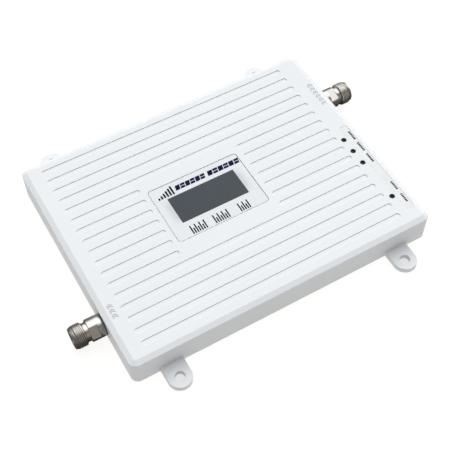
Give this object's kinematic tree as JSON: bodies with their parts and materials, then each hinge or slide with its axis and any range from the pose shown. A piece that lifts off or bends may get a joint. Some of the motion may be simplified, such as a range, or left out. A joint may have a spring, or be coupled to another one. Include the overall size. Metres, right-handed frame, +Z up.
{
  "type": "cellular signal booster",
  "caption": "Flat white cast housing with a grooved top, small display, indicator lights, two threaded coaxial ports, power switch, power inlet and four mounting ears.",
  "frame": {"origin": "centre of the underside, midway between the two coaxial port tips and between the front and rear ears", "axes": "+X along the long side towards the port beside the indicator lights, +Y towards the rear, +Z up through the grooved top"},
  "size_m": [0.2604, 0.207, 0.0214],
  "materials": {
    "white_powder_coat": "satin powder coat",
    "plain_aluminium": "brushed",
    "black_rubber": "matte",
    "zinc_steel": "zinc plated",
    "display_acrylic": "gloss",
    "lcd_glass": "gloss",
    "light_guide": "satin",
    "circuit_board": "solder mask",
    "connector_plastic": "moulded",
    "ribbon_film": "film",
    "label_film": "printed film",
    "black_plastic": "moulded",
    "smoked_plastic": "polished",
    "led_package": "moulded",
    "chip_plastic": "moulded",
    "filter_ceramic": "silvered",
    "tin_plate": "tin plated",
    "ferrite": "pressed powder",
    "capacitor_can": "drawn can",
    "switch_plastic": "moulded",
    "rocker_plastic": "moulded",
    "nickel_plate": "nickel plated brass",
    "gold_plate": "gold plated",
    "white_ptfe": "satin",
    "thermal_silicone": "matte",
    "lead_insulation": "PVC"
  },
  "bodies": {
    "case": {"housing": "white_powder_coat", "bottom_cover": "plain_aluminium", "cover_gasket": "black_rubber", "cover_screws": "zinc_steel", "display_plate": "display_acrylic", "lcd_bezel": "zinc_steel", "lcd_glass": "lcd_glass", "lcd_backlight": "light_guide", "lcd_board": "circuit_board", "lcd_screws": "zinc_steel", "ribbon_sockets": "connector_plastic", "lcd_ribbon": "ribbon_film", "indicator_label": "label_film", "led_holders": "black_plastic", "led_light_pipes": "smoked_plastic", "indicator_leds": "led_package", "main_board": "circuit_board", "board_screws": "zinc_steel", "rf_amplifiers": "chip_plastic", "duplexer_filters": "filter_ceramic", "controller_chip": "chip_plastic", "reference_oscillator": "tin_plate", "power_inductor": "ferrite", "filter_capacitors": "capacitor_can", "power_switch_frame": "switch_plastic", "power_switch_terminals": "tin_plate", "dc_jack_body": "black_plastic", "dc_jack_pin": "nickel_plate", "dc_jack_nut": "nickel_plate", "dc_jack_terminals": "tin_plate", "power_leads": "lead_insulation", "outdoor_shield_can": "tin_plate", "outdoor_thermal_pad": "thermal_silicone", "outdoor_port_shell": "nickel_plate", "outdoor_port_seal": "black_rubber", "outdoor_port_insulator": "white_ptfe", "outdoor_port_contact": "gold_plate", "outdoor_port_lockwasher": "nickel_plate", "outdoor_port_nut": "nickel_plate", "indoor_shield_can": "tin_plate", "indoor_thermal_pad": "thermal_silicone", "indoor_port_shell": "nickel_plate", "indoor_port_seal": "black_rubber", "indoor_port_insulator": "white_ptfe", "indoor_port_contact": "gold_plate", "indoor_port_lockwasher": "nickel_plate", "indoor_port_nut": "nickel_plate"},
    "rocker": {"power_switch_rocker": "rocker_plastic"}
  },
  "joints": [
    {"name": "power_switch_tilt", "type": "hinge", "parent": "case", "child": "rocker", "pos_m": [0.1086, -0.0505, 0.0097], "axis": [0, 1, 0], "range_deg": [0, 22]}
  ]
}
